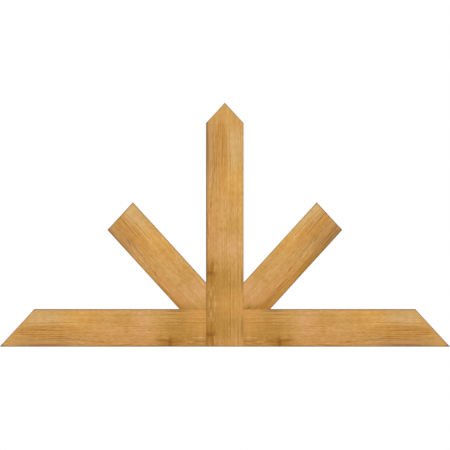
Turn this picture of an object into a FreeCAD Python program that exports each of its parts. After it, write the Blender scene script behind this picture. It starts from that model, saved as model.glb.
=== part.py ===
"""Decorative gable truss: a king post, a tie in two halves and two struts, doweled flush.

Every free end lies on one of two roof slopes that run from the tips of the tie to the apex
of the king post, so the truss slips up under the rake boards of a gable and needs no rafters
of its own.

Frame: millimetres, +Z up, +X along the tie, front face towards -Y.
Origin: on the underside, at the middle of the span and of the depth.
"""

import FreeCAD
import Part

import math
import os

# Overall size: tip to tip along the underside, and underside to apex
SPAN = 1066.8
HEIGHT = 577.85

# Planed timber
DEPTH = 88.9
POST_WIDTH = 88.9
TIE_HEIGHT = 88.9
STRUT_WIDTH = 88.9
ARRIS_RADIUS = 1.5

# Hidden dowels and their holes
DOWEL_DIAMETER = 16.0
DOWEL_CHAMFER = 1.5
FLUTE_COUNT = 6
FLUTE_RADIUS = 1.0
GLUE_FILM = 0.15
GLUE_POCKET = 2.0

# Dowels through the king post: a square of four in the tie, and a pair in the struts
DOWEL_FACE_INSET = 20.5
TIE_DOWEL_EDGE_INSET = 24.5
TIE_DOWEL_BITE = 60.0
STRUT_DOWEL_BITE = 50.0

# Upright dowel that pins the foot of each strut to the tie
FOOT_DOWEL_BITE_UP = 45.0
FOOT_DOWEL_BITE_DOWN = 45.0

# Lines that the timbers share
HALF_SPAN = SPAN / 2
HALF_POST = POST_WIDTH / 2
FRONT = -DEPTH / 2
ROOF_ANGLE = math.atan2(HEIGHT, HALF_SPAN)
SHOULDER_Z = HEIGHT - HALF_POST * math.tan(ROOF_ANGLE)
TIE_TOP_END_X = HALF_SPAN - TIE_HEIGHT / math.tan(ROOF_ANGLE)

# Middle of the clear roof slope, where a strut ends, from the corner of post and tie
STRUT_RUN = (TIE_TOP_END_X - HALF_POST) / 2
STRUT_RISE = (SHOULDER_Z - TIE_HEIGHT) / 2

X_AXIS = FreeCAD.Vector(1, 0, 0)
Y_AXIS = FreeCAD.Vector(0, 1, 0)
Z_AXIS = FreeCAD.Vector(0, 0, 1)
SIDES = {"left": -1, "right": 1}
FACES = {"front": -1, "back": 1}
TOUCHING = 1e-6
SETTLING_ROUNDS = 20


def at(x, z, y=0.0):
    """Point from its place across the span, its height and its depth."""
    return FreeCAD.Vector(x, y, z)


def on_front_or_back(edge):
    """True if the whole edge lies in the front plane, or the whole edge in the back plane."""
    return any(
        all(abs(vertex.Point.y - face * DEPTH / 2) < TOUCHING for vertex in edge.Vertexes)
        for face in FACES.values()
    )


def blank(outline):
    """Squared timber of the given front outline, with sharp arrises."""
    front_points = [point + Y_AXIS * FRONT for point in outline]
    front_face = Part.Face(Part.makePolygon(front_points + front_points[:1]))
    return front_face.extrude(Y_AXIS * DEPTH)


def ease_arrises(blanks):
    """The same timbers, with their free front and back arrises rounded.

    The rounding follows the outline of the whole truss, as when a maker eases it after the
    glue has set, so the seams between the timbers stay sharp and tight.
    """
    first, *others = blanks.values()
    joined = first.fuse(others).removeSplitter()
    arrises = [edge for edge in joined.Edges if on_front_or_back(edge)]
    eased = joined.makeFillet(ARRIS_RADIUS, arrises)
    return {name: timber.common(eased) for name, timber in blanks.items()}


def king_post():
    """Full-height post with its head cut to both roof slopes."""
    return blank(
        [
            at(-HALF_POST, 0),
            at(HALF_POST, 0),
            at(HALF_POST, SHOULDER_Z),
            at(0, HEIGHT),
            at(-HALF_POST, SHOULDER_Z),
        ]
    )


def tie_half(side):
    """Half of the tie, from the cheek of the post to the tip on the roof slope."""
    return blank(
        [
            at(side * HALF_POST, 0),
            at(side * HALF_SPAN, 0),
            at(side * TIE_TOP_END_X, TIE_HEIGHT),
            at(side * HALF_POST, TIE_HEIGHT),
        ]
    )


def strut_seat(angle):
    """Length of either cheek of a strut's foot, where both cheeks are equal."""
    return STRUT_WIDTH / (math.sin(angle) + math.cos(angle))


def strut_angle():
    """Rise of a strut that ends at the middle of the clear roof slope and seats equally.

    The centre line leaves the foot half a seat out from the corner and half a seat up, and
    the seat depends on the angle, so the two are settled in turn.
    """
    angle = math.atan2(STRUT_RISE, STRUT_RUN)
    for _ in range(SETTLING_ROUNDS):
        half_seat = strut_seat(angle) / 2
        angle = math.atan2(STRUT_RISE - half_seat, STRUT_RUN - half_seat)
    return angle


def strut(side):
    """Strut from the corner of post and tie to the middle of the clear roof slope.

    The foot is cut to a beak that seats on the post with one cheek and on the tie with the
    other. The free end is cut to the roof slope.
    """
    angle = strut_angle()
    seat = strut_seat(angle)
    half_end = STRUT_WIDTH / 2 / math.sin(angle + ROOF_ANGLE)
    end_run = half_end * math.cos(ROOF_ANGLE)
    end_rise = half_end * math.sin(ROOF_ANGLE)
    end_x = HALF_POST + STRUT_RUN
    end_z = TIE_HEIGHT + STRUT_RISE
    return blank(
        [
            at(side * HALF_POST, TIE_HEIGHT),
            at(side * (HALF_POST + seat), TIE_HEIGHT),
            at(side * (end_x + end_run), end_z - end_rise),
            at(side * (end_x - end_run), end_z + end_rise),
            at(side * HALF_POST, TIE_HEIGHT + seat),
        ]
    )


def dowel(start, axis, length):
    """Fluted hardwood dowel with chamfered ends."""
    radius = DOWEL_DIAMETER / 2
    profile = [
        at(0, 0),
        at(radius - DOWEL_CHAMFER, 0),
        at(radius, DOWEL_CHAMFER),
        at(radius, length - DOWEL_CHAMFER),
        at(radius - DOWEL_CHAMFER, length),
        at(0, length),
    ]
    pin = Part.Face(Part.makePolygon(profile + profile[:1])).revolve(at(0, 0), Z_AXIS, 360)
    for number in range(FLUTE_COUNT):
        turn = 2 * math.pi * number / FLUTE_COUNT
        flute_foot = FreeCAD.Vector(radius * math.cos(turn), radius * math.sin(turn), 0)
        pin = pin.cut(Part.makeCylinder(FLUTE_RADIUS, length, flute_foot, Z_AXIS))
    pin.Placement = FreeCAD.Placement(start, FreeCAD.Rotation(Z_AXIS, axis))
    return pin


def dowel_hole(start, axis, length):
    """Drilled hole for the dowel at the same place, with room for glue around and past it."""
    hole_radius = DOWEL_DIAMETER / 2 + GLUE_FILM
    return Part.makeCylinder(
        hole_radius, length + 2 * GLUE_POCKET, start - axis * GLUE_POCKET, axis
    )


def dowel_places():
    """Name, start, axis and length of every dowel."""
    half_seat = strut_seat(strut_angle()) / 2
    places = {}
    for face_name, face in FACES.items():
        y = face * (DEPTH / 2 - DOWEL_FACE_INSET)
        for row_name, row in {"lower": -1, "upper": 1}.items():
            z = TIE_HEIGHT / 2 + row * (TIE_HEIGHT / 2 - TIE_DOWEL_EDGE_INSET)
            start = at(-HALF_POST - TIE_DOWEL_BITE, z, y)
            length = POST_WIDTH + 2 * TIE_DOWEL_BITE
            places[f"tie_dowel_{face_name}_{row_name}"] = (start, X_AXIS, length)
        start = at(-HALF_POST - STRUT_DOWEL_BITE, TIE_HEIGHT + half_seat, y)
        length = POST_WIDTH + 2 * STRUT_DOWEL_BITE
        places[f"strut_dowel_{face_name}"] = (start, X_AXIS, length)
    for side_name, side in SIDES.items():
        start = at(side * (HALF_POST + half_seat), TIE_HEIGHT - FOOT_DOWEL_BITE_DOWN)
        length = FOOT_DOWEL_BITE_DOWN + FOOT_DOWEL_BITE_UP
        places[f"foot_dowel_{side_name}"] = (start, Z_AXIS, length)
    return places


def build():
    """Every piece of the truss by name, with its arrises eased and its dowel holes drilled."""
    blanks = {"king_post": king_post()}
    for side_name, side in SIDES.items():
        blanks[f"tie_{side_name}"] = tie_half(side)
        blanks[f"strut_{side_name}"] = strut(side)
    places = dowel_places()
    holes = [dowel_hole(*place) for place in places.values()]
    pieces = {}
    for name, timber in ease_arrises(blanks).items():
        pieces[name] = timber.cut(holes)
    for name, place in places.items():
        pieces[name] = dowel(*place)
    return pieces


os.makedirs("parts", exist_ok=True)
for node, shape in build().items():
    shape.exportStep(f"parts/{node}.step")
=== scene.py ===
"""Decorative gable truss: planed honey timber on a frame of hidden beech dowels.

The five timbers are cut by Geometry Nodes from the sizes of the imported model, eased along their
free arrises and bored for the dowels. One board figure runs along every timber, as in the real
thing, from the tip on the roof slope to the joint.
"""

import math
from functools import partial

import bpy
from bpy.props import FloatProperty, FloatVectorProperty, IntProperty, PointerProperty
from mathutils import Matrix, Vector


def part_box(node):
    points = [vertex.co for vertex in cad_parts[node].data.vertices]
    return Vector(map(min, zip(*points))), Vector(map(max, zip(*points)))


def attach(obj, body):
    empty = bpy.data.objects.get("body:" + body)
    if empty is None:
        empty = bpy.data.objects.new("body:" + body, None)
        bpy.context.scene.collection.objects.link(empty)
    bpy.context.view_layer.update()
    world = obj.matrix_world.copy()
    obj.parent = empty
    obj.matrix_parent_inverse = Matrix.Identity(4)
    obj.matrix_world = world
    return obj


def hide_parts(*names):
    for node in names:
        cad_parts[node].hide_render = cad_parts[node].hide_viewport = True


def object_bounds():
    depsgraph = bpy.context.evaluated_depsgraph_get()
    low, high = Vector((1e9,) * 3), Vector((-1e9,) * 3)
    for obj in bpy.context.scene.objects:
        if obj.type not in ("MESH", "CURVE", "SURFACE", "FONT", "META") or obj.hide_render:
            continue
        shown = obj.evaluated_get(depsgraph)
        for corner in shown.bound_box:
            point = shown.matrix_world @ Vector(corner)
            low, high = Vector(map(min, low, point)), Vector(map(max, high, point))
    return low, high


bl_info = {
    "name": "Decorative Gable Truss",
    "version": (1, 0, 0),
    "blender": (4, 5, 0),
    "location": "3D View > Sidebar > Gable Truss",
    "description": "Dresses a doweled gable truss in planed honey timber and sets its stage",
    "category": "Add Mesh",
}

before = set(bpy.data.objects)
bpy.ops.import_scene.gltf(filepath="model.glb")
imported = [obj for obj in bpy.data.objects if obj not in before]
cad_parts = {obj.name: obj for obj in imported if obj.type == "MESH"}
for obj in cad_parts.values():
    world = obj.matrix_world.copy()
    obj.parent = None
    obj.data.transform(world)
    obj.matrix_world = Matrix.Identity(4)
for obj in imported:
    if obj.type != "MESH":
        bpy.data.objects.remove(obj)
CAD_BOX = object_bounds()

# Outline of the truss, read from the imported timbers
POST_LOW, POST_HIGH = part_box("king_post")
TIE_LOW, TIE_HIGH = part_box("tie_left")
HALF_SPAN = -TIE_LOW.x
HEIGHT = POST_HIGH.z
HALF_POST = POST_HIGH.x
TIE_HEIGHT = TIE_HIGH.z
FRONT = POST_LOW.y
DEPTH = POST_HIGH.y - POST_LOW.y
BOARD = TIE_HEIGHT
ROOF = math.atan2(HEIGHT, HALF_SPAN)

# Middle of the clear roof slope, where a strut ends, from the corner of post and tie
STRUT_RUN = (HALF_SPAN - TIE_HEIGHT / math.tan(ROOF) - HALF_POST) / 2
STRUT_RISE = (HEIGHT - HALF_POST * math.tan(ROOF) - TIE_HEIGHT) / 2
SETTLING_ROUNDS = 20

SIDES = {"left": -1, "right": 1}
LEVEL_DOWELS = (
    "tie_dowel_front_lower",
    "tie_dowel_front_upper",
    "tie_dowel_back_lower",
    "tie_dowel_back_upper",
    "strut_dowel_front",
    "strut_dowel_back",
)
UPRIGHT_DOWELS = ("foot_dowel_left", "foot_dowel_right")

MILLIMETRE = 0.001
FAR = 10.0
TOUCHING = 1e-5

# Attributes of a timber: its place on the board and the painted shade along its edges, which the
# finish reads, and the weight that its free arrises are eased by
PLACE = "board_place"
GAP = "arris_gap"
SHADE = "arris_shade"
SEAMS = "seam_gaps"
END_CUT = "end_cut"
EASED = "bevel_weight_edge"

# Runs of the board that come before the struts and before the post. The figure is the same
# again after every two, and the finish tells the timbers apart by them
RUNS_BEFORE_STRUTS = 2
RUNS_BEFORE_POST = 4


def paint(red, green, blue):
    """Linear colour from the 0 to 255 values of a colour picker."""
    values = (channel / 255 for channel in (red, green, blue))
    return tuple(v / 12.92 if v <= 0.04045 else ((v + 0.055) / 1.055) ** 2.4 for v in values)


def opaque(colour):
    """The same colour with full alpha, as a colour socket takes it."""
    return (*colour[:3], 1.0)


# Properties that a user would change


def colour_setting(name, description, colour):
    """Colour property with its picker."""
    return FloatVectorProperty(
        name=name, description=description, default=colour, subtype="COLOR", size=3, min=0, max=1
    )


def length_setting(name, description, metres):
    """Length property in metres."""
    return FloatProperty(
        name=name, description=description, default=metres, min=0, unit="LENGTH", precision=5
    )


def power_setting(name, description, watts):
    """Power of a lamp in watts."""
    return FloatProperty(name=name, description=description, default=watts, min=0, unit="POWER")


class GableTimberSettings(bpy.types.PropertyGroup):
    """Sizes of the planing, the boring and the grain."""

    arris: length_setting("Arris", "Radius of the eased front and back arrises", 0.0015)
    arris_steps: IntProperty(
        name="Arris Steps", description="Faces round one eased arris", default=3, min=1, max=8
    )
    row_pitch: length_setting("Row Pitch", "Distance between rows of faces", 0.006)
    bore_film: length_setting("Glue Film", "Room for glue round a dowel", 0.00015)
    bore_pocket: length_setting("Glue Pocket", "Room for glue past a dowel's end", 0.002)
    board_run: length_setting("Board Run", "Length after which the figure turns back", 0.4765)
    strut_start: length_setting("Strut Start", "Place on the board where a strut begins", 0.085)
    left_drop: length_setting("Left Drop", "How far down the board the left strut lies", 0.0025)
    right_drop: length_setting("Right Drop", "How far down the board the right strut lies", 0.017)
    ring_spacing: length_setting("Ring Spacing", "Distance between growth rings", 0.0034)


class GableFinishSettings(bpy.types.PropertyGroup):
    """Colours of the timber and of the dowels."""

    honey: colour_setting("Honey", "Plain tone of the timber", paint(203, 153, 82))
    pale: colour_setting("Pale", "Cool pale patches", paint(208, 168, 109))
    tan: colour_setting("Tan", "Light dry runs", paint(209, 160, 93))
    straw: colour_setting("Straw", "Light flecks", paint(224, 178, 112))
    gold: colour_setting("Gold", "Warm golden runs", paint(213, 160, 80))
    amber: colour_setting("Amber", "Deep golden runs", paint(206, 150, 74))
    rose: colour_setting("Rose", "Light rosy runs", paint(211, 160, 100))
    coral: colour_setting("Coral", "Reddish runs near the lower edge", paint(208, 150, 85))
    russet: colour_setting("Russet", "Shaded band", paint(192, 137, 63))
    umber: colour_setting("Umber", "Dull runs along the lower edge", paint(180, 132, 76))
    olive: colour_setting("Olive", "Dull zone round the knot", paint(184, 135, 56))
    # Bark also paints the shade on the struts' feet
    bark: colour_setting("Bark", "Dark brown round the knot", paint(168, 114, 24))
    # Resin also draws the dark seams and paints the shade down the post's left edge
    resin: colour_setting("Resin", "Knots and resin lines", paint(118, 70, 0))
    # Arris is the painted shade along the arrises, and the dark of the end grain's rings
    arris: colour_setting("Arris", "Rubbed line along the arrises", paint(116, 82, 38))
    end: colour_setting("End", "End grain", paint(158, 106, 50))
    beech: colour_setting("Beech", "Plain tone of the dowels", paint(207, 172, 134))
    beech_dark: colour_setting("Beech Dark", "Fibres of the dowels", paint(172, 130, 92))


class GableStageSettings(bpy.types.PropertyGroup):
    """Floor, light and camera."""

    floor: colour_setting("Floor", "Colour of the floor", (0.9, 0.9, 0.9))
    floor_width: length_setting("Floor Width", "Side of the square floor", 8.0)
    floor_gap: length_setting("Floor Gap", "Room between floor and truss", 0.0002)
    sky: FloatProperty(name="Sky", description="Level light all round", default=0.5, min=0)
    key: power_setting("Key", "Power of the front left lamp", 121)
    fill: power_setting("Fill", "Power of the front right lamp", 87)
    rear: power_setting("Rear", "Power of the rear lamp", 60)
    view_width: length_setting("View Width", "Width of the camera's view", 1.0662)
    view_shift: length_setting("View Shift", "Camera's place right of the middle", 0.0004)
    view_drop: length_setting("View Drop", "Camera's place below the middle", 0.0007)
    distance: length_setting("Distance", "Distance of the camera", 3.0)


# Trees of nodes


class Wiring:
    """Adds nodes to one tree and gives back their sockets, so that a tree reads like a sum."""

    COLUMN = 190
    ROW = 260
    COLUMNS = 14

    def __init__(self, tree):
        self.tree = tree
        self.count = 0

    def feed(self, socket, value):
        """Links a socket to the input, or sets a plain value on it."""
        if isinstance(value, bpy.types.NodeSocket):
            self.tree.links.new(value, socket)
        else:
            socket.default_value = value

    def add(self, kind, inputs=None, **settings):
        """New node with its settings made and its inputs fed by name or number."""
        node = self.tree.nodes.new(kind)
        row, column = divmod(self.count, self.COLUMNS)
        node.location = (column * self.COLUMN, -row * self.ROW)
        self.count += 1
        for name, value in settings.items():
            setattr(node, name, value)
        for key, value in (inputs or {}).items():
            self.feed(node.inputs[key], value)
        return node

    def math(self, operation, *values, clamp=False):
        """Result of one sum."""
        inputs = dict(enumerate(values))
        return self.add("ShaderNodeMath", inputs, operation=operation, use_clamp=clamp).outputs[0]

    def vector(self, operation, *values):
        """Result of one sum of vectors."""
        node = self.add("ShaderNodeVectorMath", dict(enumerate(values)), operation=operation)
        return node.outputs[1 if operation in {"LENGTH", "DISTANCE", "DOT_PRODUCT"} else 0]

    def scaled(self, vector, factor):
        """A vector made longer or shorter."""
        node = self.add("ShaderNodeVectorMath", {0: vector, 3: factor}, operation="SCALE")
        return node.outputs[0]

    def combine(self, x, y, z):
        """Vector from its three values."""
        return self.add("ShaderNodeCombineXYZ", {0: x, 1: y, 2: z}).outputs[0]

    def separate(self, vector):
        """Three values of a vector."""
        return self.add("ShaderNodeSeparateXYZ", {0: vector}).outputs

    def span(self, value, start, end, low=0.0, high=1.0, kind="LINEAR"):
        """Value carried from one range to another, held at the ends."""
        inputs = dict(enumerate((value, start, end, low, high)))
        return self.add("ShaderNodeMapRange", inputs, interpolation_type=kind).outputs[0]

    def step(self, value, start, end):
        """Soft step from 0 at the start to 1 at the end."""
        return self.span(value, start, end, kind="SMOOTHSTEP")

    def mix(self, factor, first, second):
        """First colour turning into the second."""
        node = self.add("ShaderNodeMix", {0: factor, 6: first, 7: second}, data_type="RGBA")
        return node.outputs[2]

    def noise(self, place, detail, roughness=0.5):
        """Noise node over a place that is already at the noise's own scale."""
        inputs = {"Vector": place, "Scale": 1.0, "Detail": detail, "Roughness": roughness}
        return self.add("ShaderNodeTexNoise", inputs)

    def attribute(self, name, output):
        """What a piece keeps under a name, as its finish reads it."""
        return self.add("ShaderNodeAttribute", attribute_name=name).outputs[output]

    def store(self, geometry, name, value, kind="FLOAT", domain="POINT"):
        """Geometry that keeps a value under a name."""
        inputs = {"Geometry": geometry, "Name": name, "Value": value}
        node = self.add(
            "GeometryNodeStoreNamedAttribute", inputs, data_type=kind, domain=domain
        )
        return node.outputs[0]

    def group(self, name, make, *values):
        """A shared group, made on first use, with values in the order of its inputs."""
        tree = tree_once(name, make)
        return self.add("ShaderNodeGroup", dict(enumerate(values)), node_tree=tree).outputs[0]

    def ended(self, value):
        """The tree, with a value at its one output."""
        self.add("NodeGroupOutput", {0: value})
        return self.tree


def new_tree(name, kind, inputs, outputs):
    """Tree with named inputs and outputs: its wiring and its input sockets."""
    tree = bpy.data.node_groups.new(name, kind)
    for direction, sockets in (("INPUT", inputs), ("OUTPUT", outputs)):
        for socket_name, socket_type in sockets.items():
            tree.interface.new_socket(
                name=socket_name, in_out=direction, socket_type=f"NodeSocket{socket_type}"
            )
    wiring = Wiring(tree)
    return wiring, wiring.add("NodeGroupInput").outputs


def tree_once(name, make):
    """The tree of that name, made on first use."""
    return bpy.data.node_groups.get(name) or make(name)


# Geometry Nodes: the planed timber


def planed_timber_tree(name):
    """Squared timber with both ends cut to two slopes, and its free arrises marked for easing.

    Rows run along the board from its free end to its joint. Across the board, the ridge is the
    line where the cuts of both ends break.
    """
    numbers = (
        "Width", "Depth", "Ridge", "Seat Start", "Upper Free", "Lower Free", "Foot Held",
        "Outer Tip", "Outer Upper Slope", "Outer Lower Slope",
        "Inner Tip", "Inner Upper Slope", "Inner Lower Slope",
        "Upper Shade", "Lower Shade", "End Shade",
    )
    inputs = dict.fromkeys(("Origin", "Along", "Across"), "Vector")
    inputs |= dict.fromkeys(numbers, "Float")
    inputs |= dict.fromkeys(("Free Rows", "Seat Rows", "Rows Across", "Rows Deep"), "Int")
    wiring, entry = new_tree(name, "GeometryNodeTree", inputs, {"Geometry": "Geometry"})
    add = partial(wiring.math, "ADD")
    less = partial(wiring.math, "SUBTRACT")
    times = partial(wiring.math, "MULTIPLY")
    smaller = partial(wiring.math, "MINIMUM")
    larger = partial(wiring.math, "MAXIMUM")
    is_less = partial(wiring.math, "LESS_THAN")

    # Block of rows, one unit each way, from 0 to 1
    rows = add(entry["Free Rows"], entry["Seat Rows"])
    block = wiring.add(
        "GeometryNodeMeshCube",
        {
            "Vertices X": add(rows, 1.0),
            "Vertices Y": add(entry["Rows Across"], 1.0),
            "Vertices Z": add(entry["Rows Deep"], 1.0),
        },
    )
    spot = wiring.add("GeometryNodeInputPosition").outputs[0]
    share, across_share, deep_share = wiring.separate(
        wiring.vector("ADD", spot, (0.5, 0.5, 0.5))
    )

    # Place on the board: along, across and deep
    lower_width = less(entry["Width"], entry["Ridge"])
    across = add(
        wiring.span(across_share, 0.0, 0.5, 0.0, entry["Ridge"]),
        wiring.span(across_share, 0.5, 1.0, 0.0, lower_width),
    )
    above = larger(less(entry["Ridge"], across), 0.0)
    below = larger(less(across, entry["Ridge"]), 0.0)

    def cut(end):
        """Length along the board where the cut of an end meets this row across."""
        upper = times(above, entry[f"{end} Upper Slope"])
        lower = times(below, entry[f"{end} Lower Slope"])
        return add(entry[f"{end} Tip"], add(upper, lower))

    outer = cut("Outer")
    inner = cut("Inner")
    seat_share = wiring.math("DIVIDE", entry["Free Rows"], rows)
    along = add(
        wiring.span(share, 0.0, seat_share, outer, entry["Seat Start"]),
        wiring.span(share, seat_share, 1.0, 0.0, less(inner, entry["Seat Start"])),
    )
    deep = times(deep_share, entry["Depth"])

    # Distance to the nearest free arris
    upper_gap = add(across, larger(less(along, entry["Upper Free"]), 0.0))
    lower_gap = add(
        less(entry["Width"], across), larger(less(along, entry["Lower Free"]), 0.0)
    )
    end_gap = smaller(less(along, outer), add(less(inner, along), entry["Foot Held"]))
    side_gap = smaller(upper_gap, lower_gap)
    outline_gap = smaller(side_gap, end_gap)
    face_gap = smaller(deep, less(entry["Depth"], deep))
    gap = larger(outline_gap, face_gap)
    # Strength of the painted shade along the arris, taken from the nearest free side or end
    at_upper = is_less(upper_gap, add(outline_gap, TOUCHING))
    at_side = is_less(side_gap, add(outline_gap, TOUCHING))
    side_shade = wiring.span(at_upper, 0.0, 1.0, entry["Lower Shade"], entry["Upper Shade"])
    shade = wiring.span(at_side, 0.0, 1.0, entry["End Shade"], side_shade)

    # Distances to the seams with other timbers: above and at the foot
    above_seam = add(across, times(is_less(along, entry["Upper Free"]), FAR))
    foot_seam = add(less(inner, along), less(FAR, entry["Foot Held"]))
    seams = wiring.combine(above_seam, foot_seam, 0.0)

    # Marks on the block, then the block drawn out to its place
    geometry = wiring.store(block.outputs["Mesh"], GAP, gap)
    geometry = wiring.store(geometry, SHADE, shade)
    geometry = wiring.store(geometry, SEAMS, seams, "FLOAT_VECTOR")
    geometry = wiring.store(geometry, EASED, is_less(gap, TOUCHING), domain="EDGE")
    place = wiring.vector("ADD", entry["Origin"], wiring.scaled(entry["Along"], along))
    place = wiring.vector("ADD", place, wiring.scaled(entry["Across"], across))
    place = wiring.vector("ADD", place, wiring.combine(0.0, deep, 0.0))
    drawn = wiring.add(
        "GeometryNodeSetPosition", {"Geometry": geometry, "Position": place}
    ).outputs[0]

    # A board of the other hand is inside out until its faces are turned
    hand = wiring.vector("CROSS_PRODUCT", entry["Along"], entry["Across"])
    inside_out = is_less(wiring.separate(hand)[1], 0.0)
    turned = wiring.add("GeometryNodeFlipFaces", {"Mesh": drawn, "Selection": inside_out})
    return wiring.ended(turned.outputs[0])


# Faces round a bore, and how far a face leans along the board before it counts as an end
BORE_SIDES = 32
END_CUT_SLANT = 0.45


def bored_timber_tree(name):
    """Eased timber, bored for its dowels, with its board figure marked and its finish on."""
    inputs = {"Geometry": "Geometry", "Bore Lines": "Object", "Finish": "Material"}
    inputs |= dict.fromkeys(("Origin", "Along", "Across"), "Vector")
    inputs |= dict.fromkeys(("Bore Radius", "Figure Start", "Figure Drop"), "Float")
    wiring, entry = new_tree(name, "GeometryNodeTree", inputs, {"Geometry": "Geometry"})
    lines = wiring.add("GeometryNodeObjectInfo", {"Object": entry["Bore Lines"]})
    paths = wiring.add("GeometryNodeMeshToCurve", {"Mesh": lines.outputs["Geometry"]})
    ring = wiring.add(
        "GeometryNodeCurvePrimitiveCircle",
        {"Resolution": BORE_SIDES, "Radius": entry["Bore Radius"]},
    )
    bores = wiring.add(
        "GeometryNodeCurveToMesh",
        {"Curve": paths.outputs[0], "Profile Curve": ring.outputs[0], "Fill Caps": True},
    )
    bored = wiring.add(
        "GeometryNodeMeshBoolean",
        {"Mesh 1": entry["Geometry"], "Mesh 2": bores.outputs[0]},
        operation="DIFFERENCE",
        solver="EXACT",
    )

    # Place on the board, from the finished shape
    spot = wiring.add("GeometryNodeInputPosition").outputs[0]
    offset = wiring.vector("SUBTRACT", spot, entry["Origin"])
    along = wiring.vector("DOT_PRODUCT", offset, entry["Along"])
    across = wiring.vector("DOT_PRODUCT", offset, entry["Across"])
    deep = wiring.separate(offset)[1]
    place = wiring.combine(
        wiring.math("ADD", along, entry["Figure Start"]),
        wiring.math("ADD", across, entry["Figure Drop"]),
        deep,
    )
    normal = wiring.add("GeometryNodeInputNormal").outputs[0]
    slant = wiring.vector("DOT_PRODUCT", normal, entry["Along"])
    end_cut = wiring.math("GREATER_THAN", wiring.math("ABSOLUTE", slant), END_CUT_SLANT)
    geometry = wiring.store(bored.outputs["Mesh"], PLACE, place, "FLOAT_VECTOR")
    geometry = wiring.store(geometry, END_CUT, end_cut, domain="FACE")
    real = wiring.add("GeometryNodeRealizeInstances", {"Geometry": geometry})
    finished = wiring.add(
        "GeometryNodeSetMaterial", {"Geometry": real.outputs[0], "Material": entry["Finish"]}
    )
    return wiring.ended(finished.outputs[0])


def new_object(name, data):
    """Object of that name in the scene, at the origin."""
    thing = bpy.data.objects.new(name, data)
    bpy.context.collection.objects.link(thing)
    return thing


def set_tree(modifier, tree, values):
    """Puts a tree on a modifier and sets its inputs by their identifiers."""
    modifier.node_group = tree
    for item in tree.interface.items_tree:
        if item.in_out == "INPUT" and item.name in values:
            modifier[item.identifier] = values[item.name]


# Shapes of the timbers


def strut_seat(angle):
    """Length of either cheek of a strut's foot, where both cheeks are equal."""
    return BOARD / (math.sin(angle) + math.cos(angle))


def strut_angle():
    """Rise of a strut that ends at the middle of the clear roof slope and seats equally."""
    angle = math.atan2(STRUT_RISE, STRUT_RUN)
    for _ in range(SETTLING_ROUNDS):
        half_seat = strut_seat(angle) / 2
        angle = math.atan2(STRUT_RISE - half_seat, STRUT_RUN - half_seat)
    return angle


# Cut of a timber unless it says otherwise: a square foot in a joint, free sides, and an even
# painted shade along its arrises
PLAIN_CUT = {
    **dict.fromkeys(("Inner Upper Slope", "Inner Lower Slope"), 0.0),
    **dict.fromkeys(("Upper Free", "Lower Free", "Foot Held"), FAR),
    **dict.fromkeys(("Upper Shade", "Lower Shade", "End Shade"), 0.6),
}


def king_post_cut():
    """Post from the apex down, its head cut to both roof slopes."""
    free = HEIGHT - TIE_HEIGHT - strut_seat(strut_angle())
    return {
        "Origin": (HALF_POST, FRONT, HEIGHT),
        "Along": (0.0, 0.0, -1.0),
        "Across": (-1.0, 0.0, 0.0),
        "Ridge": HALF_POST,
        "Outer Tip": 0.0,
        "Outer Upper Slope": math.tan(ROOF),
        "Outer Lower Slope": math.tan(ROOF),
        "Inner Tip": HEIGHT,
        "Seat Start": free,
        "Upper Free": free,
        "Lower Free": free,
        "Foot Held": 0.0,
        # Painted shade along the arrises: strong down the left edge, slight down the right
        "Upper Shade": 0.1,
        "Lower Shade": 0.9,
    }


def tie_cut(side):
    """Half of the tie from its tip on the roof slope to the cheek of the post."""
    length = HALF_SPAN - HALF_POST
    slope = 1 / math.tan(ROOF)
    free = length - strut_seat(strut_angle())
    return {
        "Origin": (side * HALF_SPAN, FRONT, TIE_HEIGHT),
        "Along": (-side * 1.0, 0.0, 0.0),
        "Across": (0.0, 0.0, -1.0),
        "Ridge": TIE_HEIGHT / 2,
        "Outer Tip": TIE_HEIGHT / 2 * slope,
        "Outer Upper Slope": slope,
        "Outer Lower Slope": -slope,
        "Inner Tip": length,
        "Seat Start": free,
        "Upper Free": free,
        # Painted shade along the arrises: strong along the top, a little less along the bottom
        "Upper Shade": 0.9,
        "Lower Shade": 0.75,
    }


def strut_cut(side):
    """Strut from the roof slope down to its beak in the corner of post and tie."""
    angle = strut_angle()
    end = Vector((side * (HALF_POST + STRUT_RUN), FRONT, TIE_HEIGHT + STRUT_RISE))
    corner = Vector((side * HALF_POST, FRONT, TIE_HEIGHT))
    along = Vector((-side * math.cos(angle), 0.0, -math.sin(angle)))
    across = Vector((side * math.sin(angle), 0.0, -math.cos(angle)))
    beak_along = (corner - end).dot(along)
    beak_across = BOARD / 2 + (corner - end).dot(across)
    lean = 1 / math.tan(angle + ROOF)
    upper_slope = math.tan(angle)
    lower_slope = 1 / math.tan(angle)
    cheek = max(beak_across * upper_slope, (BOARD - beak_across) * lower_slope)
    return {
        "Origin": tuple(end - across * BOARD / 2),
        "Along": tuple(along),
        "Across": tuple(across),
        "Ridge": beak_across,
        "Outer Tip": (BOARD / 2 - beak_across) * lean,
        "Outer Upper Slope": lean,
        "Outer Lower Slope": -lean,
        "Inner Tip": beak_along,
        "Inner Upper Slope": -upper_slope,
        "Inner Lower Slope": -lower_slope,
        "Seat Start": beak_along - cheek - MILLIMETRE,
    }


def bore_lines(settings):
    """Line along every dowel, past its ends by the glue pocket, to bore the timbers by."""
    points = []
    for node in LEVEL_DOWELS + UPRIGHT_DOWELS:
        low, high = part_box(node)
        middle = (low + high) / 2
        reach = (high - low) / 2
        axis = Vector((1, 0, 0)) if node in LEVEL_DOWELS else Vector((0, 0, 1))
        half_line = axis * (axis.dot(reach) + settings.bore_pocket)
        points += [middle - half_line, middle + half_line]
    mesh = bpy.data.meshes.new("bore_lines")
    mesh.from_pydata(points, [(end, end + 1) for end in range(0, len(points), 2)], [])
    return new_object("bore_lines", mesh)


def bore_radius(settings):
    """Radius of a bore: that of a dowel with its film of glue."""
    low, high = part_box(LEVEL_DOWELS[0])
    return (high.z - low.z) / 2 + settings.bore_film


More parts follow.
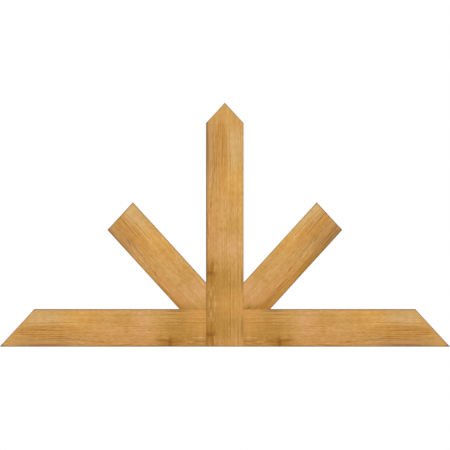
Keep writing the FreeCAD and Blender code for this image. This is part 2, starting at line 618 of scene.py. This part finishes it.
def make_timber(node, cut, figure_start=0.0, figure_drop=0.0):
    """Cuts, eases, bores and finishes the timber that stands for a CAD node."""
    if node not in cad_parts:
        raise RuntimeError(f"the packed model has no {node}")
    settings = bpy.context.scene.gable_timber
    pitch = settings.row_pitch
    rows = {
        "Free Rows": round((cut["Seat Start"] - cut["Outer Tip"]) / pitch),
        "Seat Rows": max(2, round((cut["Inner Tip"] - cut["Seat Start"]) / pitch)),
        "Rows Across": 2 * round(BOARD / pitch / 2),
        "Rows Deep": 2 * round(DEPTH / pitch / 2),
    }
    name = f"{node}_timber"
    piece = new_object(name, bpy.data.meshes.new(name))
    planing = piece.modifiers.new("Planing", "NODES")
    timber_values = {"Width": BOARD, "Depth": DEPTH, **rows, **PLAIN_CUT, **cut}
    set_tree(planing, tree_once("Planed Timber", planed_timber_tree), timber_values)
    easing = piece.modifiers.new("Easing", "BEVEL")
    easing.width = settings.arris
    easing.segments = settings.arris_steps
    easing.limit_method = "WEIGHT"
    easing.edge_weight = EASED
    boring = piece.modifiers.new("Boring", "NODES")
    lines = bore_lines(settings)
    bore_values = {
        **cut,
        "Bore Lines": lines,
        "Bore Radius": bore_radius(settings),
        "Figure Start": figure_start,
        "Figure Drop": figure_drop,
        "Finish": honey_timber(),
    }
    set_tree(boring, tree_once("Bored Timber", bored_timber_tree), bore_values)

    depsgraph = bpy.context.evaluated_depsgraph_get()
    mesh = bpy.data.meshes.new_from_object(
        piece.evaluated_get(depsgraph), preserve_all_data_layers=True, depsgraph=depsgraph
    )
    if not mesh.polygons:
        raise RuntimeError(f"{node} came out empty")
    piece.modifiers.clear()
    piece.data = mesh
    bpy.data.objects.remove(lines)
    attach(piece, "root")
    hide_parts(node)


# Shared effects of the finishes

DRIFT_DETAIL = 1.5
FIBRE_DETAIL = 2.0
FIBRE_ROUGHNESS = 0.55

# Years: how fast the weather turns and how much it shifts them, where their late wood grows
# dark and where it ends, and how dark the palest one is
WEATHER_PACE = 0.4
WEATHER_SHIFT = 1.6
LATE_GROWTH = (0.3, 0.9)
LATE_END = (1.0, 0.92)
PALEST_YEAR = 0.35

# Edge of a patch, out and in from its reach, for a softness of 1
EDGE_OUT = 0.25
EDGE_IN = -0.75


def grain_drift_group(name):
    """Bends the place on the board, so that the grain wanders."""
    inputs = {"Place": "Vector", "Length": "Float", "Width": "Float", "Amount": "Float"}
    wiring, entry = new_tree(name, "ShaderNodeTree", inputs, {"Drifted": "Vector"})
    size = wiring.combine(entry["Length"], entry["Width"], entry["Width"])
    noise = wiring.noise(wiring.vector("DIVIDE", entry["Place"], size), DRIFT_DETAIL)
    drift = wiring.vector("SUBTRACT", noise.outputs["Color"], (0.5, 0.5, 0.5))
    reach = wiring.combine(0.0, entry["Amount"], entry["Amount"])
    bent = wiring.vector("ADD", entry["Place"], wiring.vector("MULTIPLY", drift, reach))
    return wiring.ended(bent)


def fibre_group(name):
    """Streaks that run along the board, from -1 to 1, crisper with less softness."""
    inputs = {"Place": "Vector", "Length": "Float", "Width": "Float", "Softness": "Float"}
    wiring, entry = new_tree(name, "ShaderNodeTree", inputs, {"Streak": "Float"})
    size = wiring.combine(entry["Length"], entry["Width"], entry["Width"])
    spot = wiring.vector("DIVIDE", entry["Place"], size)
    noise = wiring.noise(spot, FIBRE_DETAIL, FIBRE_ROUGHNESS)
    low = wiring.math("SUBTRACT", 0.5, entry["Softness"])
    high = wiring.math("ADD", 0.5, entry["Softness"])
    streak = wiring.span(noise.outputs["Fac"], low, high, -1.0, 1.0)
    return wiring.ended(streak)


def growth_rings_group(name):
    """Late wood of the growth rings round a heart that lies beside the board."""
    inputs = {"Place": "Vector"}
    inputs |= dict.fromkeys(("Heart Across", "Heart Deep", "Spacing"), "Float")
    wiring, entry = new_tree(name, "ShaderNodeTree", inputs, {"Late Wood": "Float"})
    _, across, deep = wiring.separate(entry["Place"])
    from_heart = wiring.combine(
        0.0,
        wiring.math("SUBTRACT", across, entry["Heart Across"]),
        wiring.math("SUBTRACT", deep, entry["Heart Deep"]),
    )
    radius = wiring.vector("LENGTH", from_heart)

    # Years differ in width and in how dark they end
    age = wiring.math("DIVIDE", radius, entry["Spacing"])
    weather = wiring.add(
        "ShaderNodeTexNoise",
        {"W": age, "Scale": WEATHER_PACE, "Detail": 0.0},
        noise_dimensions="1D",
    ).outputs["Fac"]
    age = wiring.math("MULTIPLY_ADD", weather, WEATHER_SHIFT, age)
    luck = wiring.add(
        "ShaderNodeTexWhiteNoise", {"W": wiring.math("FLOOR", age)}, noise_dimensions="1D"
    ).outputs["Value"]
    year = wiring.math("FRACT", age)
    ending = wiring.step(year, *LATE_END)
    late = wiring.math("MULTIPLY", wiring.step(year, *LATE_GROWTH), ending)
    late = wiring.math("MULTIPLY", late, wiring.span(luck, 0.0, 1.0, PALEST_YEAR, 1.0))
    return wiring.ended(late)


def figure_patch_group(name):
    """Patch of the board's figure: 1 at its middle and 0 past its reach."""
    inputs = dict.fromkeys(("Place", "Middle", "Reach"), "Vector")
    inputs |= dict.fromkeys(("Turn", "Softness", "Strength"), "Float")
    wiring, entry = new_tree(name, "ShaderNodeTree", inputs, {"Mask": "Float"})
    turn = wiring.combine(0.0, 0.0, entry["Turn"])
    local = wiring.add(
        "ShaderNodeMapping",
        {
            "Vector": entry["Place"],
            "Location": entry["Middle"],
            "Rotation": turn,
            "Scale": entry["Reach"],
        },
        vector_type="TEXTURE",
    )
    away = wiring.vector("LENGTH", local.outputs[0])
    outside = wiring.math("MULTIPLY_ADD", entry["Softness"], EDGE_OUT, 1.0)
    inside = wiring.math("MULTIPLY_ADD", entry["Softness"], EDGE_IN, 1.0)
    mask = wiring.math("MULTIPLY", wiring.step(away, outside, inside), entry["Strength"])
    return wiring.ended(mask)


def fibres(wiring, place, length, width, softness):
    """Streaks of the given size that run along the board."""
    return wiring.group("Fibre", fibre_group, place, length, width, softness)


def growth_rings(wiring, place, heart, spacing):
    """Late wood of the rings round a heart that lies so far across and so deep."""
    return wiring.group("Growth Rings", growth_rings_group, place, *heart, spacing)


def grain_drift(wiring, place, length, width, amount):
    """The place on the board, bent so that the grain wanders."""
    return wiring.group("Grain Drift", grain_drift_group, place, length, width, amount)


def figure_patch(wiring, board, spot, deep, turn, softness, strength):
    """Mask of one patch; its spot is the middle along and across, and the reach both ways."""
    along, across, reach_along, reach_across = (value * MILLIMETRE for value in spot)
    middle = (along, across, 0.0)
    reach = (reach_along, reach_across, deep)
    values = (board, middle, reach, math.radians(turn), softness, strength)
    return wiring.group("Figure Patch", figure_patch_group, *values)


# Finishes


def new_finish(name):
    """Material with an empty tree: the material, its wiring and its Principled shader."""
    material = bpy.data.materials.new(name)
    material.use_nodes = True
    material.node_tree.nodes.clear()
    wiring = Wiring(material.node_tree)
    shader = wiring.add("ShaderNodeBsdfPrincipled")
    surface = wiring.add("ShaderNodeOutputMaterial")
    wiring.feed(surface.inputs["Surface"], shader.outputs[0])
    return material, wiring, shader


# Board figure, in millimetres from the tip and from the upper edge.
# Broad tones: colour, middle along and across, reach along and across, softness, strength
BROAD_TONES = (
    ("gold", 220, 16, 140, 40, 1.0, 0.3),
    ("umber", 122, 78, 106, 18, 0.9, 0.6),
    ("russet", 330, 94, 120, 14, 0.8, 0.9),
    ("bark", 320, 104, 110, 16, 0.8, 0.4),
    ("bark", 500, 84, 130, 22, 0.8, 0.45),
    ("tan", 252, 46, 48, 24, 1.0, 0.7),
    ("gold", 192, 22, 54, 26, 0.9, 0.8),
    ("straw", 156, 29, 38, 12, 1.0, 0.35),
    ("straw", 255, 16, 20, 6, 1.0, 0.3),
    ("russet", 116, 53, 80, 18, 0.3, 0.85),
    ("amber", 180, 48, 46, 14, 0.6, 0.5),
    ("pale", 106, 19, 52, 22, 1.0, 0.75),
    ("olive", 290, 28, 24, 14, 1.0, 0.3),
    ("rose", 340, 22, 28, 26, 0.9, 0.9),
    ("rose", 336, 54, 36, 20, 1.0, 0.6),
    ("coral", 298, 75, 84, 12, 1.0, 0.8),
    ("olive", 436, 44, 64, 38, 0.9, 1.0),
    ("amber", 478, 28, 42, 38, 1.0, 0.8),
    ("amber", 477, 10, 36, 24, 0.9, 0.6),
    ("bark", 403, 77, 35, 16, 0.9, 0.8),
    ("umber", 102, 88, 72, 10, 0.9, 0.95),
    ("russet", 230, 103, 90, 13, 0.8, 0.9),
    ("umber", 108, 104, 58, 15, 0.7, 1.0),
    ("bark", 178, 100, 82, 13, 0.8, 0.6),
    ("arris", 138, 106, 92, 14, 0.8, 0.25),
)

# Blotches and lines: colour, middle along and across, reach along and across, turn, strength
MARKS = (
    ("russet", 76, 52, 7, 13, 0.0, 0.4),
    ("bark", 144, 59, 9, 11, 0.0, 0.3),
    ("resin", 54, 70, 28, 1.6, 0.0, 0.25),
    ("resin", 104, 49, 24, 1.4, 1.0, 0.25),
    ("resin", 110, 61, 30, 1.2, 0.0, 0.12),
    ("resin", 152, 69, 18, 1.6, 2.0, 0.4),
    ("resin", 196, 73.5, 58, 1.5, 5.5, 0.2),
    ("resin", 242, 77.5, 9, 2.6, 18.0, 0.38),
    ("straw", 170, 64, 46, 1.6, 2.0, 0.3),
    ("straw", 184, 77.5, 36, 3.0, 3.0, 0.36),
    ("bark", 120, 80.5, 54, 4.2, 0.0, 0.17),
    ("resin", 112, 87.5, 64, 5.0, 0.0, 0.27),
    ("resin", 300, 84.8, 36, 1.6, -6.0, 0.3),
    ("resin", 404, 13.5, 30, 1.5, 0.0, 0.3),
    ("resin", 285, 14.5, 110, 1.2, 0.0, 0.15),
    ("straw", 195, 10, 9, 2.4, 0.0, 0.5),
    ("straw", 243, 10.5, 9, 2.4, 0.0, 0.5),
    ("straw", 263, 10, 9, 2.4, 0.0, 0.5),
    ("straw", 328, 9.5, 13, 2.4, 0.0, 0.5),
    ("straw", 452, 69, 30, 2.4, 0.0, 0.2),
    ("resin", 474, 77, 18, 1.8, 0.0, 0.3),
    ("resin", 420, 4, 32, 5.0, 0.0, 0.35),
    ("resin", 388, 74.5, 15, 4.5, 4.0, 0.42),
    ("resin", 388, 86.5, 44, 2.0, 0.0, 0.3),
    ("resin", 404, 78, 6.0, 17, 0.0, 0.5),
    ("resin", 456, 82, 14, 2.6, 0.0, 0.28),
    ("resin", 379, 64, 9, 4.0, -20.0, 0.25),
    ("straw", 396, 69, 9, 1.6, 0.0, 0.25),
    ("amber", 174, 16, 9, 4.0, 0.0, 0.5),
    ("straw", 198, 26, 8, 4.0, 0.0, 0.3),
    ("straw", 354, 52, 9, 4.5, 0.0, 0.5),
    ("straw", 332, 82, 14, 3.0, 0.0, 0.25),
    ("bark", 378, 71.5, 22, 4.5, 0.0, 0.4),
    ("tan", 416, 31, 12, 6.0, 0.0, 0.4),
    ("bark", 463, 72, 10, 4.0, 0.0, 0.3),
    ("straw", 474, 66, 9, 3.0, 0.0, 0.4),
)

# Marks that only the struts have
STRUT_MARKS = (
    ("bark", 120, 79, 26, 5.0, 0.0, 0.4),
    ("gold", 112, 85, 34, 4.5, 0.0, 0.3),
    ("pale", 104, 42, 32, 7.0, 0.0, 0.35),
    ("resin", 146.5, 74, 11, 1.6, 12.0, 0.7),
    ("resin", 110, 92, 34, 1.6, 2.0, 0.35),
    ("resin", 112, 98, 40, 1.8, 1.0, 0.45),
    ("bark", 346, 86, 44, 9.0, -6.0, 0.4),
    ("resin", 376, 66, 10, 4.0, -10.0, 0.6),
    ("resin", 363.5, 77.6, 9, 2.0, 0.0, 0.6),
)

# How deep tones and marks reach, how much the grain breaks them up, and how soft marks are
TONE_DEPTH = 0.05
MARK_DEPTH = 0.03
TONE_BREAKUP = 0.3
MARK_BREAKUP = 0.6
MARK_SOFTNESS = 1.0

# Zones of the grain: middle along and across, reach along and across, strength
CURLY_ZONES = ((432, 78, 85, 20, 1.0),)
LIVELY_ZONES = (
    (125, 60, 90, 34, 1.1),
    (260, 86, 200, 12, 0.6),
    (160, 100, 100, 14, 0.8),
    (440, 12, 80, 24, 0.45),
    (430, 80, 85, 18, 0.9),
)
ZONE_SOFTNESS = 0.9
CALM_GRAIN = 0.7


def grain_zones(wiring, board, zones):
    """Soft mask over the given zones of the board."""
    strongest = 0.0
    for *spot, strength in zones:
        mask = figure_patch(wiring, board, spot, TONE_DEPTH, 0.0, ZONE_SOFTNESS, strength)
        strongest = wiring.math("MAXIMUM", mask, strongest)
    return strongest


def board_figure(wiring, colour, board, finish, breakup, tones, marks):
    """Lays tones and marks of the board over a colour."""
    rows = [
        (tint, spot, TONE_DEPTH, 0.0, softness, strength)
        for tint, *spot, softness, strength in tones
    ]
    rows += [
        (tint, spot, MARK_DEPTH, turn, MARK_SOFTNESS, strength)
        for tint, *spot, turn, strength in marks
    ]
    for tint, spot, deep, turn, softness, strength in rows:
        mask = figure_patch(wiring, board, spot, deep, turn, softness, strength)
        broken = wiring.math("MULTIPLY", mask, breakup[deep], clamp=True)
        colour = wiring.mix(broken, colour, opaque(getattr(finish, tint)))
    return colour


def feed_shader(wiring, shader, colour, roughness, relief, bump_depth):
    """Feeds the colour, the roughness and the relief of a finish to its shader."""
    inputs = {"Strength": BUMP_STRENGTH, "Distance": bump_depth, "Height": relief}
    bump = wiring.add("ShaderNodeBump", inputs)
    wiring.feed(shader.inputs["Base Color"], colour)
    wiring.feed(shader.inputs["Roughness"], roughness)
    wiring.feed(shader.inputs["Normal"], bump.outputs[0])


# Grain that is laid over the figure: length, width, softness and strength of the streaks
LINES = {
    "broad": (0.22, 0.010, 0.22, 0.4),
    "middle": (0.16, 0.0040, 0.22, 0.6),
    "fine": (0.16, 0.0018, 0.13, 1.5),
}
FLECKS = {
    "flecks": (0.010, 0.0018, 0.14, 1.35),
    "ripple": (0.011, 0.040, 0.22, 0.45),
    "pores": (0.012, 0.0006, 0.22, 0.6),
}
GRAIN_TINT = (0.058, 0.09, 0.195)

# Wandering of the grain: length and width of its bends, and how far it goes
DRIFT_BENDS = (0.16, 0.05)
FRONT_DRIFT = 0.005
INNER_DRIFT = 0.010
KNOT_CURL = (0.03, 0.014, 0.016)

# Growth rings: the heart across and deep, how far apart strong years are, and their tones
TREE_HEART = (-0.05, 0.12)
STRONG_SPACING = 3.4
STRONG_WOOD = -4.0
STRONG_LIFT = 0.9
LATE_WOOD = -2.0
LATE_SHARE = 0.25

# Inside, past the depth that the figure reaches, broad clouds take its place
FIGURE_DEPTH = (0.002, 0.02)
CLOUDS = (0.28, 0.03, 0.2)
CLOUD_SHADE = 0.7

# Sawn ends: length, width and softness of the saw's marks, and the strength of each layer
SAW_MARKS = (0.09, 0.0018, 0.16)
SAW_SHADE = 0.12
END_LATE_WOOD = 0.5
END_COVER = 0.8

# Painted shade along the arrises, dark seams, painted shade down the post's left edge and on the
# struts' feet: where each begins and where it is full
ARRIS_SHADE_REACH = (0.0025, 0.0012)
ARRIS_SHADE_DEPTH = (0.02, 0.06)
INNER_ARRIS_SHADE = 0.4
SEAM = (0.0018, 0.0003)
SEAM_SHADE = 0.22
POST_SEAM = 0.5
POST_EDGE = (BOARD - 0.0055, BOARD - 0.003)
POST_EDGE_SHADE = 0.3
SEAT = (0.030, 0.002)
SEAT_ACROSS = (0.050, 0.062)
SEAT_SHADE = 0.45

# Sheen of the oil and the feel of the planed face
TIMBER_ROUGHNESS = 0.58
FINE_ROUGHNESS = 0.05
ARRIS_SHADE_ROUGHNESS = 0.35
SAWN_ROUGHNESS = 0.15
TIMBER_SPECULAR = 0.25
LATE_RELIEF = 0.5
SAW_RELIEF = 1.2
TIMBER_BUMP = 0.0003
BUMP_STRENGTH = 0.3


def honey_timber():
    """Planed and oiled timber, one board figure along every piece."""
    name = "Honey Timber"
    if name in bpy.data.materials:
        return bpy.data.materials[name]
    finish = bpy.context.scene.gable_finish
    sizes = bpy.context.scene.gable_timber
    material, wiring, shader = new_finish(name)
    times = partial(wiring.math, "MULTIPLY")
    layer = partial(wiring.math, "MULTIPLY_ADD")
    larger = partial(wiring.math, "MAXIMUM")
    gap, shade, end_cut = (wiring.attribute(kept, "Fac") for kept in (GAP, SHADE, END_CUT))
    place, seams = (wiring.attribute(kept, "Vector") for kept in (PLACE, SEAMS))

    # The figure turns back at the end of the board's run, and the grain wanders
    run = sizes.board_run
    along, across, deep = wiring.separate(place)
    board = wiring.combine(wiring.math("PINGPONG", along, run), across, deep)
    strut = wiring.math("COMPARE", along, (RUNS_BEFORE_STRUTS + 0.5) * run, run)
    post = wiring.math("GREATER_THAN", along, (RUNS_BEFORE_POST - 0.5) * run)
    inner = wiring.step(deep, *FIGURE_DEPTH)
    drifted = grain_drift(wiring, board, *DRIFT_BENDS, layer(inner, INNER_DRIFT, FRONT_DRIFT))

    # Round the knot, the grain curls
    curl = wiring.vector("SUBTRACT", grain_drift(wiring, drifted, *KNOT_CURL), drifted)
    curl = wiring.scaled(curl, grain_zones(wiring, board, CURLY_ZONES))
    swirled = wiring.vector("ADD", drifted, curl)

    # Rings and streaks of the grain
    streaks = {
        streak: fibres(wiring, swirled, *size) for streak, (*size, _) in (LINES | FLECKS).items()
    }
    late = growth_rings(wiring, swirled, TREE_HEART, sizes.ring_spacing)
    strong = growth_rings(wiring, swirled, TREE_HEART, sizes.ring_spacing * STRONG_SPACING)
    grain = layer(late, LATE_WOOD, -LATE_WOOD * LATE_SHARE)
    for streak, (*_, strength) in LINES.items():
        grain = layer(streaks[streak], strength, grain)
    liveliness = wiring.math("ADD", grain_zones(wiring, board, LIVELY_ZONES), CALM_GRAIN)
    liveliness = layer(inner, 1.0 - CALM_GRAIN, liveliness)
    grain = times(grain, liveliness)
    for streak, (*_, strength) in FLECKS.items():
        grain = layer(streaks[streak], strength, grain)
    grain = layer(layer(strong, STRONG_WOOD, STRONG_LIFT), inner, grain)

    # Figure of the board, with the grain over it
    breakup = {
        TONE_DEPTH: layer(streaks["middle"], TONE_BREAKUP, 1.0),
        MARK_DEPTH: layer(streaks["flecks"], MARK_BREAKUP, 1.0),
    }
    clouds = fibres(wiring, drifted, *CLOUDS)
    warm = times(wiring.span(clouds, 0.0, 1.0, 0.0, CLOUD_SHADE), inner)
    dull = times(wiring.span(clouds, 0.0, -1.0, 0.0, CLOUD_SHADE), inner)
    colour = wiring.mix(warm, opaque(finish.honey), opaque(finish.amber))
    colour = wiring.mix(dull, colour, opaque(finish.umber))
    colour = board_figure(wiring, colour, drifted, finish, breakup, BROAD_TONES, MARKS)
    marked = board_figure(wiring, colour, drifted, finish, breakup, (), STRUT_MARKS)
    colour = wiring.mix(strut, colour, marked)
    tint = wiring.vector("ADD", wiring.scaled(GRAIN_TINT, grain), (1.0, 1.0, 1.0))
    colour = wiring.vector("MULTIPLY", colour, tint)

    # Sawn ends, and painted shade along the arrises
    saw_marks = fibres(wiring, wiring.combine(deep, across, along), *SAW_MARKS)
    end_rings = larger(times(late, END_LATE_WOOD), strong)
    end_rings = layer(saw_marks, SAW_SHADE, end_rings, clamp=True)
    end_tone = wiring.mix(end_rings, opaque(finish.end), opaque(finish.arris))
    colour = wiring.mix(times(end_cut, END_COVER), colour, end_tone)
    painted_arris_shade = times(wiring.step(gap, *ARRIS_SHADE_REACH), shade)
    painted_arris_shade = times(painted_arris_shade, wiring.span(deep, *ARRIS_SHADE_DEPTH, 1.0, INNER_ARRIS_SHADE))
    colour = wiring.mix(painted_arris_shade, colour, opaque(finish.arris))

    # Seams: faint beside the post, clear under the struts; and painted shade down the post's left
    # edge
    above_seam, foot_seam, _ = wiring.separate(seams)
    above_line = times(wiring.step(above_seam, *SEAM), wiring.span(post, 0.0, 1.0, 1.0, POST_SEAM))
    foot_line = times(wiring.step(foot_seam, *SEAM), strut)
    seam_line = times(larger(above_line, foot_line), SEAM_SHADE)
    post_front = wiring.math("SUBTRACT", post, inner, clamp=True)
    painted_post_edge_shade = times(wiring.step(across, *POST_EDGE), post_front)
    seam_line = layer(painted_post_edge_shade, POST_EDGE_SHADE, seam_line)
    colour = wiring.mix(seam_line, colour, opaque(finish.resin))

    # Painted shade on the struts where they stand on the tie
    painted_seat_shade = times(times(wiring.step(foot_seam, *SEAT), SEAT_SHADE), strut)
    painted_seat_shade = times(painted_seat_shade, wiring.step(across, *SEAT_ACROSS))
    colour = wiring.mix(painted_seat_shade, colour, opaque(finish.bark))

    # Sheen and relief
    roughness = layer(streaks["fine"], FINE_ROUGHNESS, TIMBER_ROUGHNESS)
    roughness = layer(painted_arris_shade, ARRIS_SHADE_ROUGHNESS, roughness)
    roughness = layer(end_cut, SAWN_ROUGHNESS, roughness)
    relief = layer(late, LATE_RELIEF, streaks["pores"])
    relief = layer(times(saw_marks, end_cut), SAW_RELIEF, relief)
    feed_shader(wiring, shader, colour, roughness, relief, TIMBER_BUMP)
    shader.inputs["Specular IOR Level"].default_value = TIMBER_SPECULAR
    return material


# Dowels: length, width and softness of the fibres, the rings, and the shade of each layer
DOWEL_FLECKS = (0.006, 0.0005, 0.22)
DOWEL_STREAKS = (0.05, 0.002, 0.22)
DOWEL_HEART = (0.03, 0.2)
DOWEL_RINGS = 0.003
DOWEL_SHADE = 0.3
FLECK_SHADE = 0.25
STREAK_SHADE = 0.2
RING_SHADE = 0.2
DOWEL_ROUGHNESS = 0.6
FLECK_ROUGHNESS = 0.08
DOWEL_BUMP = 0.0002


def beech_dowel(name, turn):
    """Turned beech with fine dark flecks along the dowel."""
    finish = bpy.context.scene.gable_finish
    material, wiring, shader = new_finish(name)
    layer = partial(wiring.math, "MULTIPLY_ADD")
    spot = wiring.add("ShaderNodeTexCoord").outputs["Object"]
    turned = wiring.add("ShaderNodeMapping", {"Vector": spot, "Rotation": turn}).outputs[0]
    flecks = fibres(wiring, turned, *DOWEL_FLECKS)
    tone = layer(flecks, FLECK_SHADE, DOWEL_SHADE)
    tone = layer(fibres(wiring, turned, *DOWEL_STREAKS), STREAK_SHADE, tone)
    late = growth_rings(wiring, turned, DOWEL_HEART, DOWEL_RINGS)
    tone = layer(late, RING_SHADE, tone, clamp=True)
    colour = wiring.mix(tone, opaque(finish.beech), opaque(finish.beech_dark))
    roughness = layer(flecks, FLECK_ROUGHNESS, DOWEL_ROUGHNESS)
    feed_shader(wiring, shader, colour, roughness, flecks, DOWEL_BUMP)
    return material


# Stage

# Lamps: width, and place across, front to back and up
LAMPS = {
    "key": (3.2, (-2.6, -4.5, 0.9)),
    "fill": (3.2, (3.2, -4.2, 0.7)),
    "rear": (2.4, (0.8, 3.2, 1.0)),
}
WHITE = (1.0, 1.0, 1.0, 1.0)
FLOOR_ROUGHNESS = 0.9
FLOOR_SPECULAR = 0.1
VIEW_REACH = 50


def white_to_the_eye(wiring):
    """1 for rays from the camera and for mirrored or refracted ones, 0 for the rest."""
    path = wiring.add("ShaderNodeLightPath").outputs
    seen = wiring.math("MAXIMUM", path["Is Camera Ray"], path["Is Glossy Ray"])
    return wiring.math("MAXIMUM", seen, path["Is Transmission Ray"])


def make_sky(stage):
    """Even light all round, and plain white to the eye."""
    world = bpy.data.worlds.new("Studio")
    bpy.context.scene.world = world
    world.use_nodes = True
    world.node_tree.nodes.clear()
    wiring = Wiring(world.node_tree)
    light = wiring.add("ShaderNodeBackground", {"Color": WHITE, "Strength": stage.sky})
    backdrop = wiring.add("ShaderNodeBackground", {"Color": WHITE, "Strength": 1.0})
    mixed = wiring.add("ShaderNodeMixShader", {0: white_to_the_eye(wiring)})
    wiring.feed(mixed.inputs[1], light.outputs[0])
    wiring.feed(mixed.inputs[2], backdrop.outputs[0])
    surface = wiring.add("ShaderNodeOutputWorld")
    wiring.feed(surface.inputs["Surface"], mixed.outputs[0])


def make_floor(stage):
    """Pale floor just under the truss."""
    half = stage.floor_width / 2
    z = CAD_BOX[0].z - stage.floor_gap
    corners = [(-half, -half, z), (half, -half, z), (half, half, z), (-half, half, z)]
    mesh = bpy.data.meshes.new("floor")
    mesh.from_pydata(corners, [], [(0, 1, 2, 3)])
    floor = new_object("floor", mesh)
    material, wiring, shader = new_finish("Pale Floor")
    wiring.feed(shader.inputs["Base Color"], opaque(stage.floor))
    shader.inputs["Roughness"].default_value = FLOOR_ROUGHNESS
    shader.inputs["Specular IOR Level"].default_value = FLOOR_SPECULAR
    mesh.materials.append(material)


def make_lamp(name, power, width, place, target):
    """Soft square lamp turned towards a point."""
    data = bpy.data.lights.new(name, "AREA")
    data.energy = power
    data.size = width
    lamp = new_object(name, data)
    lamp.location = place
    lamp.rotation_euler = (Vector(target) - Vector(place)).to_track_quat("-Z", "Y").to_euler()


def make_camera(stage):
    """Camera square on to the front, at the middle of the truss, with no perspective."""
    data = bpy.data.cameras.new("Elevation")
    data.type = "ORTHO"
    data.ortho_scale = stage.view_width
    data.clip_end = VIEW_REACH
    camera = new_object("Elevation", data)
    z = HEIGHT / 2 - stage.view_drop
    camera.location = (stage.view_shift, FRONT - stage.distance, z)
    camera.rotation_euler = (math.pi / 2, 0, 0)
    bpy.context.scene.camera = camera


# Operators


class GABLE_OT_king_post(bpy.types.Operator):
    """Cut the king post and finish it"""

    bl_idname = "gable.king_post"
    bl_label = "King Post"

    def execute(self, context):
        start = RUNS_BEFORE_POST * context.scene.gable_timber.board_run
        make_timber("king_post", king_post_cut(), start)
        return {"FINISHED"}


class GABLE_OT_tie_halves(bpy.types.Operator):
    """Cut both halves of the tie and finish them"""

    bl_idname = "gable.tie_halves"
    bl_label = "Tie Halves"

    def execute(self, context):
        for side_name, side in SIDES.items():
            make_timber(f"tie_{side_name}", tie_cut(side))
        return {"FINISHED"}


class GABLE_OT_struts(bpy.types.Operator):
    """Cut both struts and finish them"""

    bl_idname = "gable.struts"
    bl_label = "Struts"

    def execute(self, context):
        settings = context.scene.gable_timber
        start = RUNS_BEFORE_STRUTS * settings.board_run + settings.strut_start
        make_timber("strut_left", strut_cut(SIDES["left"]), start, settings.left_drop)
        make_timber("strut_right", strut_cut(SIDES["right"]), start, settings.right_drop)
        return {"FINISHED"}


class GABLE_OT_dowels(bpy.types.Operator):
    """Finish the hidden dowels"""

    bl_idname = "gable.dowels"
    bl_label = "Dowels"

    def execute(self, context):
        groups = (
            ("Beech Dowel Level", LEVEL_DOWELS, (0.0, 0.0, 0.0)),
            ("Beech Dowel Upright", UPRIGHT_DOWELS, (0.0, math.pi / 2, 0.0)),
        )
        for name, nodes, turn in groups:
            material = beech_dowel(name, turn)
            for node in nodes:
                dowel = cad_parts[node]
                for slot in dowel.material_slots:
                    slot.material = material
        return {"FINISHED"}


class GABLE_OT_stage(bpy.types.Operator):
    """Set the floor, the light and the camera"""

    bl_idname = "gable.stage"
    bl_label = "Stage"

    def execute(self, context):
        stage = context.scene.gable_stage
        make_sky(stage)
        make_floor(stage)
        target = (0.0, 0.0, HEIGHT / 2)
        for name, (width, place) in LAMPS.items():
            make_lamp(name.title(), getattr(stage, name), width, place, target)
        make_camera(stage)
        context.scene.view_settings.view_transform = "Standard"
        return {"FINISHED"}


class GABLE_PT_truss(bpy.types.Panel):
    """Steps and settings of the truss"""

    bl_idname = "GABLE_PT_truss"
    bl_label = "Gable Truss"
    bl_space_type = "VIEW_3D"
    bl_region_type = "UI"
    bl_category = "Gable Truss"

    def draw(self, context):
        layout = self.layout
        for step in OPERATORS:
            layout.operator(step.bl_idname)
        for group_name in SETTINGS:
            settings = getattr(context.scene, group_name)
            box = layout.box()
            for setting in settings.bl_rna.properties:
                if setting.identifier in settings.__annotations__:
                    box.prop(settings, setting.identifier)


SETTINGS = {
    "gable_timber": GableTimberSettings,
    "gable_finish": GableFinishSettings,
    "gable_stage": GableStageSettings,
}
OPERATORS = (
    GABLE_OT_king_post,
    GABLE_OT_tie_halves,
    GABLE_OT_struts,
    GABLE_OT_dowels,
    GABLE_OT_stage,
)
CLASSES = (*SETTINGS.values(), *OPERATORS, GABLE_PT_truss)


def register():
    """Registers the classes and puts the settings on the scene."""
    for cls in CLASSES:
        bpy.utils.register_class(cls)
    for group_name, cls in SETTINGS.items():
        setattr(bpy.types.Scene, group_name, PointerProperty(type=cls))


def unregister():
    """Takes the settings and the classes away again."""
    for group_name in SETTINGS:
        delattr(bpy.types.Scene, group_name)
    for cls in reversed(CLASSES):
        bpy.utils.unregister_class(cls)


def main():
    """Builds the truss and its stage."""
    register()
    bpy.ops.gable.king_post()
    bpy.ops.gable.tie_halves()
    bpy.ops.gable.struts()
    bpy.ops.gable.dowels()
    bpy.ops.gable.stage()


if __name__ == "__main__":
    main()
